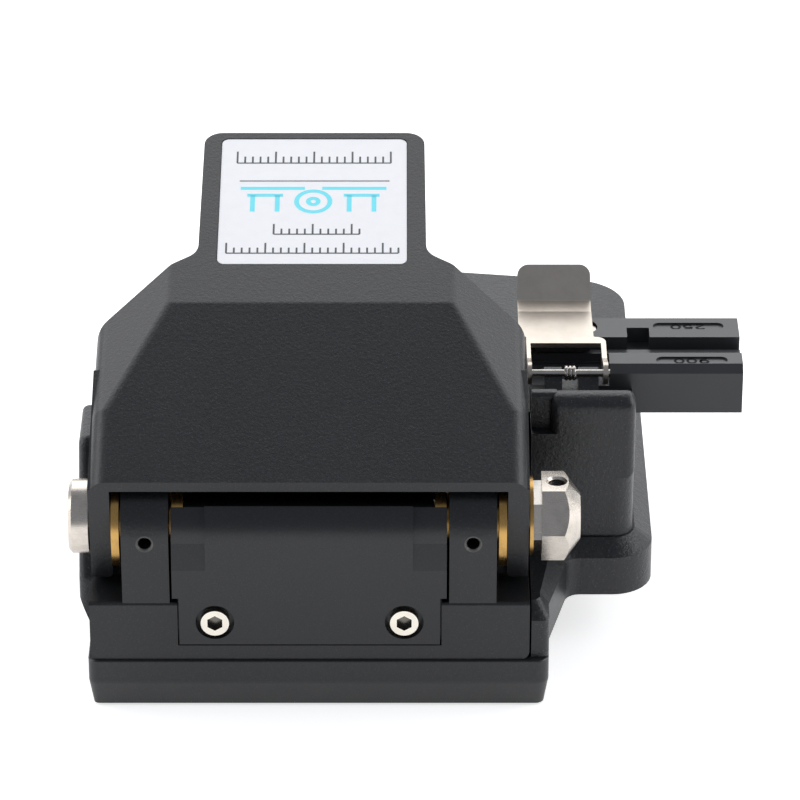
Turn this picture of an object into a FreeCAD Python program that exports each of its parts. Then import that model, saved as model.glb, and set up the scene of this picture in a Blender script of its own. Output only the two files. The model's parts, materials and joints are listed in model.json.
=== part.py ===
"""Single-action precision fibre cleaver, built as separate solids on one frame.

Frame: +X to the fibre adapter's side, +Y from the lever's hinge to its thumb tab, +Z up.
Origin: under the point where the blade plane (X = 0) crosses the fibre line (Y = 0), on the
surface that the rubber mat stands on (Z = 0).  Millimetres.
"""
import FreeCAD, Part
import math
import os

os.makedirs("parts", exist_ok=True)

# ---- driving dimensions ------------------------------------------------------------------
FIBRE_Z = 38.6              # height of the fibre line
HINGE_Y = -36.5             # lever hinge axis, parallel to X
HINGE_Z = 29.2
LEVER_LIFT = 12.0           # degrees that the lever stands open in the stored pose

FOOT_HEIGHT = 0.4
MAT_MARGIN = 3.0
REAR_Y = -46.0              # rear face of the base plate
PLATE_LEFT = -34.55
PLATE_RIGHT = 37.2
PLATE_FRONT = 26.0
PLATE_TOP = 8.5
PLATE_BEVEL_IN = 0.7
PLATE_BEVEL_UP = 4.1

SKIRT_TOP = 15.2            # vertical wall of the housing's flared foot
SKIRT_SHOULDER = 2.2        # rise of the slope above that wall
SKIRT_FLARE = 3.2           # how far the foot stands out from the housing above it
HOUSING_LEFT = -34.4
HOUSING_FRONT = 28.4         # front right corner of the housing
HOUSING_BOW = 34.5           # furthest point of its bowed front
LUG_LEFT = -36.4             # outer face of the lug beside the axle's head
PIT_HALF = 34.6              # half width of the opening for the lever's arms
HOUSING_RIGHT = 51.0
HOUSING_REAR = -22.8
DECK_Z = 36.0               # upper deck of the housing
SHELTER_TOP = 42.2          # raised rim behind the clip lid

BLOCK_HALF = 34.1           # hinge block half width
BLOCK_REAR = REAR_Y + 0.5
BLOCK_FRONT = HINGE_Y + 9.0
BLOCK_TOP = 18.8
EAR_IN = 21.6
EAR_OUT = 28.9
EAR_RADIUS = 8.8

AXLE_RADIUS = 2.5
RUNNING_CLEARANCE = 0.05

COVER_HALF = 21.2           # rear cover plate half width
COVER_LOW_HALF = 20.2
COVER_BOTTOM = 11.6
COVER_STEP_Z = 19.9
COVER_RADIUS = 9.5
COVER_TOP_ANGLE = 39.0
COVER_THICKNESS = 2.0
COVER_RECESS = 0.9          # depth of the recess at its upper corners
COVER_RECESS_Z = 24.9       # where that recess runs out
COVER_SEAT = 1.6            # depth of its screw seats
COVER_SCREW_X = 14.65
COVER_SCREW_Z = 15.6

LEVER_HALF = 33.9           # lever shell half width at its lower edge
LEVER_TOP_HALF = 33.8       # and at the upper edge of its side walls
LEVER_INNER_HALF = 30.6
LEVER_TOP = 18.0            # top flat above the hinge axis
LEVER_SIDE_DROP = 4.8       # how far the side bevels fall
LEVER_RIDGE = 30.0          # hinge axis to the ridge
LEVER_RAMP = 10.4           # degrees of the rear ramp
LEVER_REAR = -5.2           # rear face of the lever, from the hinge axis
LEVER_ARM_RADIUS = 9.6
LEVER_FLAT_HALF = 22.4
LEVER_SHOULDER = 29.0       # where the side walls turn in
LEVER_NECK = 39.5           # where the chamfered walls reach the tab's root
LEVER_TIP = 73.5
LEVER_EDGE = 10.4           # lower edge of the forward walls above the hinge axis
TAB_HALF = 18.0
TAB_THICKNESS = 4.0
SHELL = 1.85
LEVER_SOFTNESS = 2.8
ARM_SOFTNESS = 0.9

LABEL_HALF = 15.2
LABEL_START = 39.6
LABEL_END = 72.0
LABEL_DEPTH = 0.6

WHEEL_RADIUS = 8.0
WHEEL_HALF = 0.6
CARRIAGE_CLOSED = -9.0      # wheel centre along Y with the lever closed
CARRIAGE_TRAVEL = 18.0      # over the lever's whole swing
LEVER_SWING = 60.0
RAIL_RADIUS = 1.5
RAIL_X = 9.0
RAIL_Z = 16.0

ADAPTER_LEFT = 35.0
ADAPTER_RIGHT = 68.7
ADAPTER_REAR = -8.2
ADAPTER_FRONT = 8.4
ADAPTER_BOTTOM = 31.7
ADAPTER_TOP = 40.0

LID_PIN_Y = -10.9
LID_PIN_Z = 40.4
LID_PIN_RADIUS = 0.6
LID_SHEET = 0.8
LID_LEFT = 33.1
LID_RIGHT = 47.0
LID_SPRING_X = 41.0
LID_UNDER = ADAPTER_TOP + 0.15

MAGNET_X = 21.0
MAGNET_Y = -10.0
MAGNET_RADIUS = 2.5
CLAMP_INNER = 4.6
CLAMP_OUTER = 15.6
CLAMP_DEPTH = 4.2
BAR_HALF = 19.0
BAR_BOTTOM = 41.5
BAR_TOP = 43.6
GUIDE_X = 17.4
ANVIL_PIVOT_Y = -18.0
ANVIL_PIVOT_Z = 40.2
BOSS_BOTTOM = 42.0
PLATE_SEAT_Z = DECK_Z - 2.5

BUSH_RADIUS = 3.6
AXLE_LEFT = -37.2
NUT_LEFT = 34.6
COLLAR_LEFT = 35.9
COLLAR_RIGHT = 41.9
COLLAR_CONE_X = 40.1
COLLAR_END_RADIUS = 3.65
COLLAR_ACROSS = 12.0
COLLAR_TURN = 33.0
COLLAR_HOLE_TURN = COLLAR_TURN + 60.0
NUT_TURN = 18.0
COLLAR_GRUB_X = 38.25
ADAPTER_SCREWS = (39.0, 43.5)
ADAPTER_SCREW_Y = 5.5
PLATE_SCREWS = [(x, y) for x in (-26.0, 29.0) for y in (-37.5, 18.0)]
TOP_PLATE_SCREWS = [(x, y) for x in (-22.5, 22.5) for y in (-17.0, 18.0)]

WHEEL_Z = FIBRE_Z - WHEEL_RADIUS + 0.02
WHEEL_Y = CARRIAGE_CLOSED + CARRIAGE_TRAVEL * LEVER_LIFT / LEVER_SWING

# ---- helpers -----------------------------------------------------------------------------
V = FreeCAD.Vector
X_AXIS = V(1, 0, 0)
Y_AXIS = V(0, 1, 0)
Z_AXIS = V(0, 0, 1)


def box(x0, x1, y0, y1, z0, z1):
    """Block between two corners."""
    return Part.makeBox(x1 - x0, y1 - y0, z1 - z0, V(x0, y0, z0))


def rod_x(radius, x0, x1, y, z):
    """Round bar along X."""
    return Part.makeCylinder(radius, x1 - x0, V(x0, y, z), X_AXIS)


def rod_y(radius, y0, y1, x, z):
    """Round bar along Y."""
    return Part.makeCylinder(radius, y1 - y0, V(x, y0, z), Y_AXIS)


def rod_z(radius, z0, z1, x, y):
    """Round bar along Z."""
    return Part.makeCylinder(radius, z1 - z0, V(x, y, z0), Z_AXIS)


def ring_x(outer, inner, x0, x1, y, z):
    """Washer or bush along X."""
    return rod_x(outer, x0, x1, y, z).cut(rod_x(inner, x0 - 1, x1 + 1, y, z))


def rounded_wire(corners, place):
    """Closed wire through (u, v, radius) corners; place(u, v) gives the point in space."""
    count = len(corners)
    starts = []
    arcs = []
    for i in range(count):
        u0, v0 = corners[i - 1][:2]
        u1, v1, radius = corners[i]
        u2, v2 = corners[(i + 1) % count][:2]
        back = V(u0 - u1, v0 - v1, 0).normalize()
        ahead = V(u2 - u1, v2 - v1, 0).normalize()
        corner = V(u1, v1, 0)
        if radius <= 0:
            starts.append((corner, corner))
            arcs.append(None)
            continue
        half = back.getAngle(ahead) / 2
        reach = radius / math.tan(half)
        bisector = (back + ahead).normalize()
        middle = corner + bisector * (radius / math.sin(half) - radius)
        starts.append((corner + back * reach, corner + ahead * reach))
        arcs.append(middle)
    edges = []
    for i in range(count):
        entry, leave = starts[i]
        if arcs[i] is not None:
            three = [place(p.x, p.y) for p in (entry, arcs[i], leave)]
            edges.append(Part.Arc(*three).toShape())
        following = starts[(i + 1) % count][0]
        if (following - leave).Length > 1e-6:
            ends = [place(p.x, p.y) for p in (leave, following)]
            edges.append(Part.LineSegment(*ends).toShape())
    return Part.Wire(edges)


def plan(corners, z0, z1):
    """Plan outline of (x, y, radius) corners, from z0 up to z1."""
    face = Part.Face(rounded_wire(corners, lambda x, y: V(x, y, z0)))
    return face.extrude(V(0, 0, z1 - z0))


def profile(corners, x0, x1):
    """Side profile of (y, z, radius) corners, from x0 to x1."""
    face = Part.Face(rounded_wire(corners, lambda y, z: V(x0, y, z)))
    return face.extrude(V(x1 - x0, 0, 0))


def section(corners, y0, y1):
    """Front view outline of (x, z, radius) corners, from y0 to y1."""
    face = Part.Face(rounded_wire(corners, lambda x, z: V(x, y0, z)))
    return face.extrude(V(0, y1 - y0, 0))


def mirrored(shape):
    """The same piece on the other side of the blade plane."""
    return shape.mirror(V(0, 0, 0), X_AXIS)


def both_sides(shape):
    """A piece and its mirror image, as separate solids."""
    return Part.makeCompound([shape, mirrored(shape)])


def joined(first, *others):
    """Pieces of one casting."""
    return first.fuse(list(others)).removeSplitter()


def without(shape, *tools):
    """A shape with openings cut from it."""
    return shape.cut(list(tools))


def rounded(shape, radius, wanted):
    """Round the edges that wanted(edge) picks."""
    edges = [edge for edge in shape.Edges if wanted(edge)]
    return shape.makeFillet(radius, edges)


def bevelled(shape, size, wanted):
    """Chamfer the edges that wanted(edge) picks."""
    edges = [edge for edge in shape.Edges if wanted(edge)]
    return shape.makeChamfer(size, edges)


def level(edge, z, slack=0.01):
    """True for an edge that lies wholly at height z."""
    bound = edge.BoundBox
    return abs(bound.ZMin - z) < slack and abs(bound.ZMax - z) < slack


def hex_hole(across, depth, y, x, z):
    """Hexagon socket that opens towards -Y."""
    reach = across / math.sqrt(3)
    turns = [math.radians(60 * i + 30) for i in range(6)]
    corners = [(x + reach * math.cos(a), z + reach * math.sin(a), 0) for a in turns]
    return section(corners, y - 0.1, y + depth)


def lifted(shape):
    """Turn a piece of the closed lever to the stored pose."""
    turned = shape.copy()
    turned.rotate(V(0, HINGE_Y, HINGE_Z), X_AXIS, LEVER_LIFT)
    return turned


def lever_point(along, above):
    """Place in the closed lever, from the hinge axis: (y, z)."""
    return HINGE_Y + along, HINGE_Z + above


# ---- base: plate, feet and housing -------------------------------------------------------
def base_plate():
    """Bottom plate with a bevelled lower edge and counterbored screw holes from below."""
    corners = [
        (PLATE_LEFT, REAR_Y, 1.5),
        (PLATE_RIGHT, REAR_Y, 2.0),
        (PLATE_RIGHT, PLATE_FRONT, 8.0),
        (PLATE_LEFT, PLATE_FRONT, 8.0),
    ]
    plate = plan(corners, FOOT_HEIGHT, PLATE_TOP)
    lower = [edge for edge in plate.Edges if level(edge, FOOT_HEIGHT)]
    plate = plate.makeChamfer(PLATE_BEVEL_UP, PLATE_BEVEL_IN, lower)
    plate = bevelled(plate, 0.15, lambda edge: level(edge, PLATE_TOP))
    for x, y in PLATE_SCREWS:
        plate = without(plate, rod_z(2.2, 0, 9, x, y), rod_z(4.0, 0, FOOT_HEIGHT + 4.2, x, y))
    return plate


def rubber_mat():
    """Thin rubber mat under the plate, open at the plate screws."""
    corners = [
        (PLATE_LEFT + MAT_MARGIN, REAR_Y + MAT_MARGIN, 3.0),
        (PLATE_RIGHT - MAT_MARGIN, REAR_Y + MAT_MARGIN, 3.0),
        (PLATE_RIGHT - MAT_MARGIN, PLATE_FRONT - MAT_MARGIN, 7.0),
        (PLATE_LEFT + MAT_MARGIN, PLATE_FRONT - MAT_MARGIN, 7.0),
    ]
    mat = plan(corners, 0, FOOT_HEIGHT)
    for x, y in PLATE_SCREWS:
        mat = without(mat, rod_z(4.2, -1, 2, x, y))
    return mat


def plate_screws():
    """Four socket cap screws that hold the plate to the housing and the hinge block."""
    screws = []
    for x, y in PLATE_SCREWS:
        head_top = FOOT_HEIGHT + 4.2
        screw = joined(rod_z(3.5, FOOT_HEIGHT + 0.4, head_top, x, y),
                       rod_z(2.0, head_top - 0.2, 15.0, x, y))
        turns = [math.radians(60 * i) for i in range(6)]
        socket = [(x + 1.73 * math.cos(a), y + 1.73 * math.sin(a), 0) for a in turns]
        screws.append(without(screw, plan(socket, 0, FOOT_HEIGHT + 2.4)))
    return Part.makeCompound(screws)


def housing_corners():
    """Plan of the housing above its foot."""
    return [
        (PIT_HALF, -16.0, 0),
        (PIT_HALF, HOUSING_REAR, 0),
        (HOUSING_RIGHT, HOUSING_REAR, 3.0),
        (HOUSING_RIGHT, HOUSING_FRONT, 9.0),
        (8.0, HOUSING_BOW, 80.0),
        (-27.0, 29.0, 8.0),
        (HOUSING_LEFT, 11.5, 10.0),
        (HOUSING_LEFT, -16.0, 0),
    ]


def foot_wire(inset, z):
    """Outline of the flared foot, drawn in by inset, at height z."""
    tail_rear = REAR_Y + 1.1 + inset
    tail_right = PLATE_RIGHT - 0.5 * inset
    flare_rear = HOUSING_REAR - SKIRT_FLARE + inset
    right = HOUSING_RIGHT + SKIRT_FLARE - inset
    front = HOUSING_FRONT + SKIRT_FLARE - inset
    corners = [
        (34.4, tail_rear, 0),
        (tail_right, tail_rear, 1.2),
        (tail_right, -40.0, 4.0),
        (40.6 - 0.8 * inset, flare_rear, 2.5),
        (right, flare_rear, 6.5 - inset),
        (right, front, 11.0 - inset),
        (8.0, HOUSING_BOW + SKIRT_FLARE - inset, 80.0),
        (-23.0, 29.4, 0),
        (-23.0, 10.0, 0),
        (34.4, 10.0, 0),
    ]
    return rounded_wire(corners, lambda x, y: V(x, y, z))


def foot():
    """Flared foot of the housing, with the narrow tail beside the hinge block."""
    wall = Part.Face(foot_wire(0, PLATE_TOP)).extrude(V(0, 0, SKIRT_TOP - PLATE_TOP))
    shoulder = Part.makeLoft([foot_wire(0, SKIRT_TOP),
                              foot_wire(SKIRT_FLARE - 0.4, SKIRT_TOP + SKIRT_SHOULDER)], True, True)
    return joined(wall, shoulder)


def shelter():
    """Raised rim behind the clip lid, with a thinner wall towards the lever."""
    rim_front = HOUSING_REAR + 4.0
    right = profile([
        (HOUSING_REAR, DECK_Z - 8.0, 0),
        (rim_front + 2.0, DECK_Z - 8.0, 0),
        (rim_front, SHELTER_TOP, 1.6),
        (HOUSING_REAR, SHELTER_TOP, 2.2),
    ], 37.6, HOUSING_RIGHT)
    right = rounded(right, 1.4, lambda edge: level_at_x(edge, 37.6) or level_at_x(edge, HOUSING_RIGHT))
    wall = profile([
        (HOUSING_REAR + 1.8, DECK_Z - 8.0, 0),
        (rim_front, DECK_Z - 8.0, 0),
        (rim_front, SHELTER_TOP, 0.8),
        (HOUSING_REAR + 1.8, SHELTER_TOP, 0.8),
    ], PIT_HALF + 0.05, 38.6)
    return joined(right, wall)


def axle_lug():
    """Lug of the housing beside the axle's head, drawn in at its foot."""
    lug = profile([
        (-34.0, PLATE_TOP, 0),
        (-34.0, 16.0, 2.0),
        (-24.3, DECK_Z, 2.0),
        (-13.4, DECK_Z, 0),
        (-13.4, PLATE_TOP, 0),
    ], LUG_LEFT, HOUSING_LEFT + 0.3)
    lug = rounded(lug, 1.2, lambda edge: level_at_x(edge, LUG_LEFT) and edge.BoundBox.YMax < -15)
    taper = section([
        (LUG_LEFT - 1.0, PLATE_TOP - 1.0, 0),
        (PLATE_LEFT, PLATE_TOP - 1.0, 0),
        (LUG_LEFT, 12.5, 0),
        (LUG_LEFT - 1.0, 12.5, 0),
    ], -36.0, -10.0)
    return without(lug, taper)


def level_at_x(edge, x, slack=0.01):
    """True for an edge that lies wholly in the plane at x."""
    bound = edge.BoundBox
    return abs(bound.XMin - x) < slack and abs(bound.XMax - x) < slack


def main_housing():
    """Die-cast housing: deck, mechanism pocket, lever pit and the shelter behind the lid."""
    body = plan(housing_corners(), PLATE_TOP, DECK_Z)
    cheek = profile([
        (-16.0, PLATE_TOP, 0),
        (-6.0, PLATE_TOP, 0),
        (-6.0, DECK_Z, 0),
        (-12.5, DECK_Z + 2.4, 2.0),
        (-15.0, DECK_Z + 2.4, 2.0),
    ], PIT_HALF, 38.5)
    body = joined(body, foot(), shelter(), cheek, axle_lug())
    pit = box(-PIT_HALF, PIT_HALF, BLOCK_FRONT, -15.5, 17.0, DECK_Z + 5)
    island = box(-27.8, 27.8, -22.0, -12.0, 17.0, DECK_Z)
    lid_bay = box(38.6, 49.4, -17.6, ADAPTER_REAR + 1, 33.6, DECK_Z + 10)
    adapter_bay = box(ADAPTER_LEFT - 0.15, 60, ADAPTER_REAR - 0.15, ADAPTER_FRONT + 0.15,
                      ADAPTER_BOTTOM, DECK_Z + 10)
    body = without(body, pit, adapter_bay, lid_bay)
    pin_lug = profile([
        (LID_PIN_Y + 2.0, 33.0, 0),
        (LID_PIN_Y + 2.0, LID_PIN_Z, 0),
        (LID_PIN_Y, LID_PIN_Z, 0),
        (LID_PIN_Y - 2.6, LID_PIN_Z - 2.5, 0),
        (LID_PIN_Y - 2.6, 33.0, 0),
    ], 36.9, 45.5)
    body = joined(body, island, pin_lug)
    body = without(body, rod_x(LID_PIN_RADIUS, PIT_HALF - 1, 50.0, LID_PIN_Y, LID_PIN_Z))
    spring_notch = box(LID_SPRING_X - 1.3, LID_SPRING_X + 1.3, LID_PIN_Y - 3, LID_PIN_Y + 3,
                       LID_PIN_Z - 2.2, LID_PIN_Z + 1)
    body = without(body, spring_notch)
    pocket = box(-13.0, 13.0, -19.5, 19.5, 11.0, PLATE_SEAT_Z + 1)
    plate_seat = plan(top_plate_corners(0.1), PLATE_SEAT_Z, DECK_Z + 1)
    body = without(body, pocket, plate_seat)
    for x in (-RAIL_X, RAIL_X):
        body = without(body, rod_y(RAIL_RADIUS, -21.0, 21.0, x, RAIL_Z))
    for x, y in TOP_PLATE_SCREWS:
        body = without(body, rod_z(1.25, DECK_Z - 8.0, DECK_Z, x, y))
    for x in ADAPTER_SCREWS:
        body = without(body, rod_z(1.25, 25.5, ADAPTER_BOTTOM + 1, x, ADAPTER_SCREW_Y))
    for x, y in PLATE_SCREWS:
        if y > BLOCK_FRONT:
            body = without(body, rod_z(2.0, PLATE_TOP - 1, 15.5, x, y))
    return body


def top_plate_corners(grow):
    """Plan of the machined top plate, grown all round for its seat in the housing."""
    half = 26.0 + grow
    return [
        (-half, -20.8 - grow, 2.0),
        (half, -20.8 - grow, 2.0),
        (half, 21.5 + grow, 2.0),
        (-half, 21.5 + grow, 2.0),
    ]


def top_plate():
    """Machined plate over the blade carriage, with the slot that the wheel runs in."""
    plate = plan(top_plate_corners(0), PLATE_SEAT_Z, DECK_Z)
    slot = plan([(-3.3, -18.9, 1.5), (4.3, -18.9, 1.5), (4.3, 18.9, 1.5), (-3.3, 18.9, 1.5)],
                PLATE_SEAT_Z - 1, DECK_Z + 1)
    plate = without(plate, slot)
    plate = bevelled(plate, 0.4, lambda edge: level(edge, DECK_Z) and abs(edge.BoundBox.Center.y) > 19)
    for x, y in TOP_PLATE_SCREWS:
        plate = without(plate, rod_z(1.3, PLATE_SEAT_Z - 1, DECK_Z + 1, x, y),
                        Part.makeCone(1.3, 2.6, 1.3, V(x, y, DECK_Z - 1.3)))
    for side in (-1, 1):
        plate = without(plate, rod_z(MAGNET_RADIUS, PLATE_SEAT_Z - 1, DECK_Z + 1,
                                     side * MAGNET_X, MAGNET_Y))
    return plate


# ---- hinge at the rear ------------------------------------------------------------------
def hinge_block():
    """Block with the two ears that hold the lever's axle."""
    lower = profile([
        (BLOCK_REAR, PLATE_TOP, 0),
        (BLOCK_FRONT, PLATE_TOP, 0),
        (BLOCK_FRONT, BLOCK_TOP, 1.0),
        (BLOCK_REAR, BLOCK_TOP, 0.6),
    ], -BLOCK_HALF, BLOCK_HALF)
    lower = rounded(lower, 1.5, lambda edge: edge_along_y(edge, PLATE_TOP))
    ear = joined(rod_x(EAR_RADIUS, EAR_IN, EAR_OUT, HINGE_Y, HINGE_Z),
                 box(EAR_IN, EAR_OUT, HINGE_Y - EAR_RADIUS, HINGE_Y + EAR_RADIUS,
                     BLOCK_TOP - 1, HINGE_Z))
    block = joined(lower, ear, mirrored(ear))
    web = box(-EAR_IN, EAR_IN, HINGE_Y + 2.0, HINGE_Y + EAR_RADIUS, BLOCK_TOP - 2, BLOCK_TOP + 3)
    block = joined(block, web)
    seat_rear, seat_front = REAR_Y - 1, REAR_Y + COVER_THICKNESS
    lower_half, upper_half = COVER_LOW_HALF + 0.25, COVER_HALF + 0.25
    cover_seat = box(-lower_half, lower_half, seat_rear, seat_front, COVER_BOTTOM - 0.5, HINGE_Z)
    cover_seat = cover_seat.fuse(box(-upper_half, upper_half, seat_rear, seat_front,
                                     COVER_STEP_Z - 0.25, HINGE_Z + 12))
    spring_bay = rod_x(7.4, -EAR_IN, EAR_IN, HINGE_Y, HINGE_Z)
    bore = rod_x(AXLE_RADIUS, -EAR_OUT - 1, EAR_OUT + 1, HINGE_Y, HINGE_Z)
    block = without(block, cover_seat, spring_bay, bore)
    for side in (-1, 1):
        x = side * (EAR_IN + EAR_OUT) / 2
        hole = rod_y(1.0, REAR_Y - 1, HINGE_Y, x, HINGE_Z)
        rim = Part.makeCone(1.3, 1.0, 0.3, V(x, HINGE_Y - EAR_RADIUS, HINGE_Z), Y_AXIS)
        screw_hole = rod_y(1.05, REAR_Y, REAR_Y + 9, side * COVER_SCREW_X, COVER_SCREW_Z)
        block = without(block, hole, rim, screw_hole)
    for x, y in PLATE_SCREWS:
        if y < BLOCK_FRONT:
            block = without(block, rod_z(2.0, 0, 15.0, x, y))
    return block


def edge_along_y(edge, z):
    """True for the block's lower edges that run from rear to front."""
    bound = edge.BoundBox
    return level(edge, z) and bound.YLength > 5 and bound.XLength < 0.01


def rear_cover():
    """Bent cover over the spring bay, stepped at the bottom and recessed at its upper corners."""
    turn = math.radians(COVER_TOP_ANGLE)
    inner = COVER_RADIUS - COVER_THICKNESS
    pie = [
        (HINGE_Y - 20 * math.cos(turn), HINGE_Z + 20 * math.sin(turn), 0),
        (HINGE_Y, HINGE_Z, 0),
        (HINGE_Y - 20, HINGE_Z, 0),
    ]
    bend = rod_x(COVER_RADIUS, -COVER_HALF, COVER_HALF, HINGE_Y, HINGE_Z)
    bend = without(bend, rod_x(inner, -COVER_HALF, COVER_HALF, HINGE_Y, HINGE_Z))
    bend = bend.common(profile(pie, -COVER_HALF, COVER_HALF))
    sheet = box(-COVER_HALF, COVER_HALF, REAR_Y, REAR_Y + COVER_THICKNESS, COVER_BOTTOM, HINGE_Z)
    cover = joined(sheet, bend)
    for side in (-1, 1):
        ends = sorted((side * COVER_LOW_HALF, side * (COVER_HALF + 1)))
        step = box(ends[0], ends[1], REAR_Y - 1, REAR_Y + 3, COVER_BOTTOM - 1, COVER_STEP_Z)
        ends = sorted((side * 16.0, side * (COVER_HALF + 1)))
        corner = box(ends[0], ends[1], REAR_Y - 1, HINGE_Y, COVER_RECESS_Z, HINGE_Z + 10)
        floor = COVER_RADIUS - COVER_RECESS
        kept = profile([
            (REAR_Y, COVER_RECESS_Z, 0),
            (HINGE_Y - floor, HINGE_Z, 0),
            (HINGE_Y, HINGE_Z, 0),
            (HINGE_Y, COVER_RECESS_Z - 1, 0),
            (REAR_Y, COVER_RECESS_Z - 1, 0),
        ], ends[0], ends[1])
        corner = without(corner, rod_x(floor, ends[0], ends[1], HINGE_Y, HINGE_Z), kept)
        x = side * COVER_SCREW_X
        hole = rod_y(1.2, REAR_Y - 1, REAR_Y + 3, x, COVER_SCREW_Z)
        seat = rod_y(3.0, REAR_Y - 1, REAR_Y + COVER_SEAT, x, COVER_SCREW_Z)
        cover = without(cover, step, corner, hole, seat)
    return cover


def cover_screws():
    """Two M2.5 socket screws with their heads in the cover's counterbores."""
    screws = []
    for side in (-1, 1):
        x = side * COVER_SCREW_X
        screw = joined(rod_y(2.2, REAR_Y - 0.3, REAR_Y + COVER_SEAT, x, COVER_SCREW_Z),
                       rod_y(1.05, REAR_Y + COVER_SEAT - 0.1, REAR_Y + 8.5, x, COVER_SCREW_Z))
        screws.append(without(screw, hex_hole(2.3, 1.2, REAR_Y - 0.3, x, COVER_SCREW_Z)))
    return Part.makeCompound(screws)


def grub_screws():
    """Grub screws: one in each ear against the axle, one in the lock collar."""
    screws = []
    for side in (-1, 1):
        x = side * (EAR_IN + EAR_OUT) / 2
        start = HINGE_Y - EAR_RADIUS + 3.0
        grub = rod_y(1.0, start, HINGE_Y - AXLE_RADIUS, x, HINGE_Z)
        screws.append(without(grub, hex_hole(0.9, 1.0, start, x, HINGE_Z)))
    start = HINGE_Y - COLLAR_ACROSS / 2 + 0.9
    grub = rod_y(1.3, start, HINGE_Y - AXLE_RADIUS, COLLAR_GRUB_X, HINGE_Z)
    grub = without(grub, hex_hole(1.3, 1.0, start, COLLAR_GRUB_X, HINGE_Z))
    grub.rotate(V(0, HINGE_Y, HINGE_Z), X_AXIS, -COLLAR_HOLE_TURN)
    screws.append(grub)
    return Part.makeCompound(screws)


def hinge_axle():
    """Headed axle through both ears and both arms of the lever."""
    head = rod_x(5.8, AXLE_LEFT, -LEVER_HALF - 0.2, HINGE_Y, HINGE_Z)
    head = bevelled(head, 0.5, lambda edge: level_at_x(edge, AXLE_LEFT))
    return joined(head, rod_x(AXLE_RADIUS, -LEVER_HALF - 0.3, 41.6, HINGE_Y, HINGE_Z))


def inner_bushes():
    """Flanged brass bushes on the axle, inside the ears."""
    inner_end = COVER_HALF - 0.05
    flange = joined(rod_x(6.8, 19.4, inner_end, HINGE_Y, HINGE_Z),
                    rod_x(4.2, inner_end - 0.1, EAR_IN, HINGE_Y, HINGE_Z))
    return both_sides(without(flange, rod_x(AXLE_RADIUS, 19, EAR_OUT, HINGE_Y, HINGE_Z)))


def side_washers():
    """Brass washers between the ears and the lever's arms."""
    outer_end = LEVER_INNER_HALF - 0.15
    washer = joined(rod_x(7.8, EAR_OUT + 0.35, outer_end, HINGE_Y, HINGE_Z),
                    rod_x(4.5, EAR_OUT, outer_end, HINGE_Y, HINGE_Z))
    return both_sides(without(washer, rod_x(AXLE_RADIUS, EAR_IN, LEVER_HALF, HINGE_Y, HINGE_Z)))


def outer_washer():
    """Brass washer outside the right arm."""
    return ring_x(6.2, AXLE_RADIUS, LEVER_HALF + 0.15, NUT_LEFT, HINGE_Y, HINGE_Z)


def hexagon_x(across, x0, x1, turn):
    """Hexagon bar about the hinge axis, turned so that one facet faces the rear."""
    reach = across / math.sqrt(3)
    turns = [math.radians(60 * i + 30 + turn) for i in range(6)]
    corners = [(HINGE_Y + reach * math.cos(a), HINGE_Z + reach * math.sin(a), 0) for a in turns]
    return profile(corners, x0, x1)


def jam_nut():
    """Thin hexagon nut that sets the play of the lever."""
    nut = hexagon_x(9.7, NUT_LEFT, COLLAR_LEFT, -NUT_TURN)
    return without(nut, rod_x(AXLE_RADIUS, 30, 40, HINGE_Y, HINGE_Z))


def lock_collar():
    """Hexagon collar with a coned end and a radial grub screw hole."""
    collar = hexagon_x(COLLAR_ACROSS, COLLAR_LEFT, COLLAR_RIGHT, -COLLAR_TURN)
    slope = (COLLAR_ACROSS / 2 - COLLAR_END_RADIUS) / (COLLAR_RIGHT - COLLAR_CONE_X)
    run = COLLAR_RIGHT - COLLAR_LEFT
    cone = Part.makeCone(COLLAR_END_RADIUS + slope * run, COLLAR_END_RADIUS, run,
                         V(COLLAR_LEFT, HINGE_Y, HINGE_Z), X_AXIS)
    collar = collar.common(cone)
    collar = without(collar, rod_x(AXLE_RADIUS, 30, 50, HINGE_Y, HINGE_Z))
    face = HINGE_Y - COLLAR_ACROSS / 2
    hole = rod_y(1.3, face - 1, HINGE_Y, COLLAR_GRUB_X, HINGE_Z)
    rim = Part.makeCone(1.65, 1.3, 0.35, V(COLLAR_GRUB_X, face, HINGE_Z), Y_AXIS)
    for tool in (hole, rim):
        tool.rotate(V(0, HINGE_Y, HINGE_Z), X_AXIS, -COLLAR_HOLE_TURN)
    return without(collar, hole, rim)


def wound_x(outer, inner, x0, x1, turns, y, z):
    """Close wound spring along X, with a groove between its turns."""
    pitch = (x1 - x0) / turns
    points = [V(x0, y, z + inner)]
    for i in range(turns):
        start = x0 + i * pitch
        points.append(V(start, y, z + outer - 0.3 * pitch))
        points.append(V(start + 0.3 * pitch, y, z + outer))
        points.append(V(start + 0.7 * pitch, y, z + outer))
    points.append(V(x1, y, z + outer - 0.3 * pitch))
    points.append(V(x1, y, z + inner))
    face = Part.Face(Part.makePolygon(points + points[:1]))
    return face.revolve(V(0, y, z), X_AXIS, 360)


def lever_springs():
    """Two torsion springs on the axle inside their sleeve."""
    coil = wound_x(4.3, 3.1, 6.5, 18.0, 6, HINGE_Y, HINGE_Z)
    return both_sides(coil)


def spring_sleeve():
    """Black sleeve around the torsion springs."""
    return ring_x(5.9, 4.7, -19.2, 19.2, HINGE_Y, HINGE_Z)


# ---- lever ------------------------------------------------------------------------------
def lever_side(drop):
    """Side profile of the lever, with its roof lowered by drop."""
    ridge_y, top_z = lever_point(LEVER_RIDGE, LEVER_TOP - drop)
    rear_y = HINGE_Y + LEVER_REAR
    fall = math.tan(math.radians(LEVER_RAMP))
    rear_z = top_z - (LEVER_RIDGE - LEVER_REAR) * fall
    return ridge_y, top_z, rear_y, rear_z


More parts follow.
